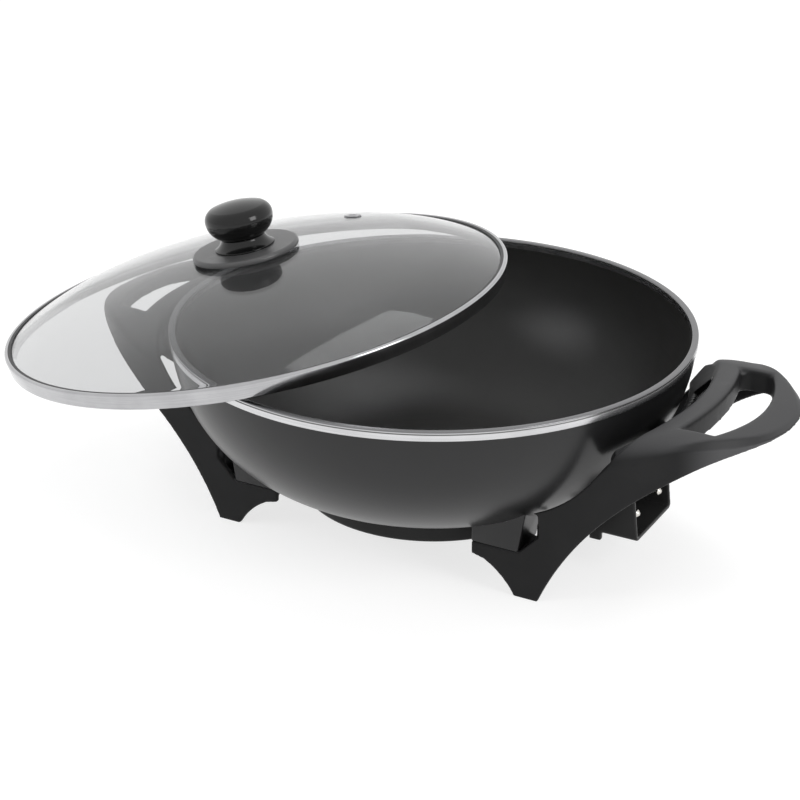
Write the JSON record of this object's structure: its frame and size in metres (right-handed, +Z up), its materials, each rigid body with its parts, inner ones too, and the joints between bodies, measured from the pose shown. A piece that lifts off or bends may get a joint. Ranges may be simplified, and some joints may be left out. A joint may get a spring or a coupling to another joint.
{
  "type": "electric_wok",
  "caption": "Electric wok: dark cast bowl with a bare rim, black handle-and-leg mouldings, an element and inlet under it, and a loose domed glass lid with a knob.",
  "frame": {"origin": "on the floor, under the middle of the bowl", "axes": "+Z up; +X towards the handle over the inlet; -Y towards the front"},
  "size_m": [0.5495, 0.3711, 0.2075],
  "materials": {
    "cast_body": "satin dark non-stick coating, bare metal at the rim",
    "handle_moulding": "fine matte moulding",
    "shroud_moulding": "matte",
    "cover_coat": "satin black coating",
    "element_sheath": "heat-dulled",
    "pin_plating": "polished",
    "bush_ceramic": "matte",
    "plate_steel": "satin",
    "screw_steel": "satin",
    "washer_steel": "satin",
    "lid_glass": "clear with a light grey tint",
    "seal_rubber": "matte",
    "band_steel": "fine satin",
    "knob_gloss": "glossy",
    "shield_moulding": "satin",
    "insert_brass": "plain"
  },
  "bodies": {
    "wok": {"base_cover": "cover_coat", "base_cover_screw_1": "screw_steel", "base_cover_screw_2": "screw_steel", "base_cover_screw_3": "screw_steel", "element_clip_1": "plate_steel", "element_clip_2": "plate_steel", "element_clip_3": "plate_steel", "element_clip_screw_1": "screw_steel", "element_clip_screw_2": "screw_steel", "element_clip_screw_3": "screw_steel", "handle_leg_left": "handle_moulding", "handle_leg_right": "handle_moulding", "heating_element": "element_sheath", "inlet_pin_front": "pin_plating", "inlet_pin_rear": "pin_plating", "inlet_plate": "plate_steel", "leg_screw_left_front": "screw_steel", "leg_screw_left_rear": "screw_steel", "leg_screw_right_front": "screw_steel", "leg_screw_right_rear": "screw_steel", "pin_bush_front": "bush_ceramic", "pin_bush_rear": "bush_ceramic", "plug_shroud": "shroud_moulding", "probe_sleeve": "plate_steel", "rim_screw_left": "screw_steel", "rim_screw_right": "screw_steel", "rim_washer_left": "washer_steel", "rim_washer_right": "washer_steel", "shroud_screw_front": "screw_steel", "shroud_screw_rear": "screw_steel", "wok_bowl": "cast_body"},
    "lid": {"knob_gasket": "seal_rubber", "knob_grip": "knob_gloss", "knob_insert": "insert_brass", "knob_screw": "screw_steel", "knob_shield": "shield_moulding", "knob_washer": "washer_steel", "lid_band": "band_steel", "lid_glass": "lid_glass", "lid_seal": "seal_rubber", "vent_eyelet": "washer_steel"}
  },
  "joints": [
    {"name": "lid_lift", "type": "slide", "parent": "wok", "child": "lid", "axis": [0, 0, 1], "range_m": [0, 0.2]}
  ]
}
